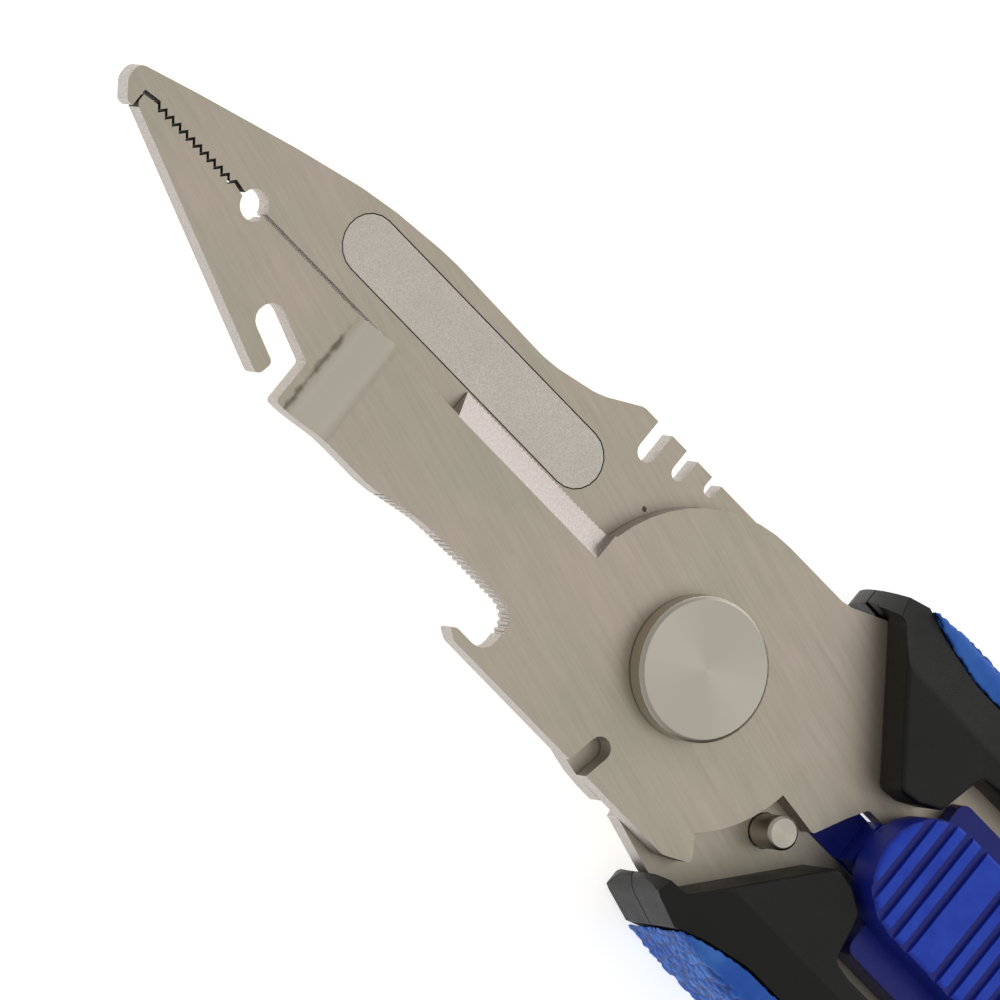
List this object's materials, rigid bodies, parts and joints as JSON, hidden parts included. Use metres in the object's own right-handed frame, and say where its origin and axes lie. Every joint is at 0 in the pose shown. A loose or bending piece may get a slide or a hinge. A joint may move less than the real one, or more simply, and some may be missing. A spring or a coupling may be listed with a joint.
{
  "type": "fishing pliers",
  "caption": "Flat fishing pliers with toothed nose, braid scissors, side wire notch, bottle opener, hook hone, sliding lock and two-colour handles.",
  "frame": {"origin": "pivot axis at the outer flat face of the pivot nut", "axes": "+Y towards the nose, +Z along the pivot axis towards the front face, +X towards the upper handle's side"},
  "size_m": [0.041, 0.1895, 0.0144],
  "materials": {
    "satin_steel": "satin brushed stainless sheet",
    "turned_steel": "turned or drawn stainless, brighter than the plates",
    "hone_grit": "fine grit bonded to steel, for sharpening hooks",
    "black_nylon": "moulded glass-filled nylon, satin black",
    "blue_rubber": "soft blue elastomer with a leather-like grain",
    "blue_nylon": "moulded nylon, semi-gloss ultramarine"
  },
  "bodies": {
    "lower_arm": {"rear_plate": "satin_steel", "hook_hone": "hone_grit", "stop_pin": "turned_steel", "pivot_screw": "turned_steel", "pivot_nut": "turned_steel", "lower_front_shell": "black_nylon", "lower_back_shell": "black_nylon", "lower_grip": "blue_rubber", "lower_screw_1": "turned_steel", "lower_screw_2": "turned_steel", "lower_screw_3": "turned_steel", "return_spring": "turned_steel"},
    "upper_arm": {"front_plate": "satin_steel", "upper_front_shell": "black_nylon", "upper_back_shell": "black_nylon", "upper_grip": "blue_rubber", "upper_screw_1": "turned_steel", "upper_screw_2": "turned_steel", "upper_screw_3": "turned_steel"},
    "lock": {"lock_slider": "blue_nylon", "slider_retainer": "turned_steel", "slider_screw_1": "turned_steel", "slider_screw_2": "turned_steel", "lock_pin": "turned_steel"}
  },
  "joints": [
    {"name": "jaw_hinge", "type": "hinge", "parent": "lower_arm", "child": "upper_arm", "pos_m": [0, 0, 0.00405], "axis": [0, 0, 1], "range_deg": [0, 23], "deforming": ["return_spring"]},
    {"name": "lock_travel", "type": "slide", "parent": "lower_arm", "child": "lock", "axis": [0, -1, 0], "range_m": [0, 0.006]}
  ]
}
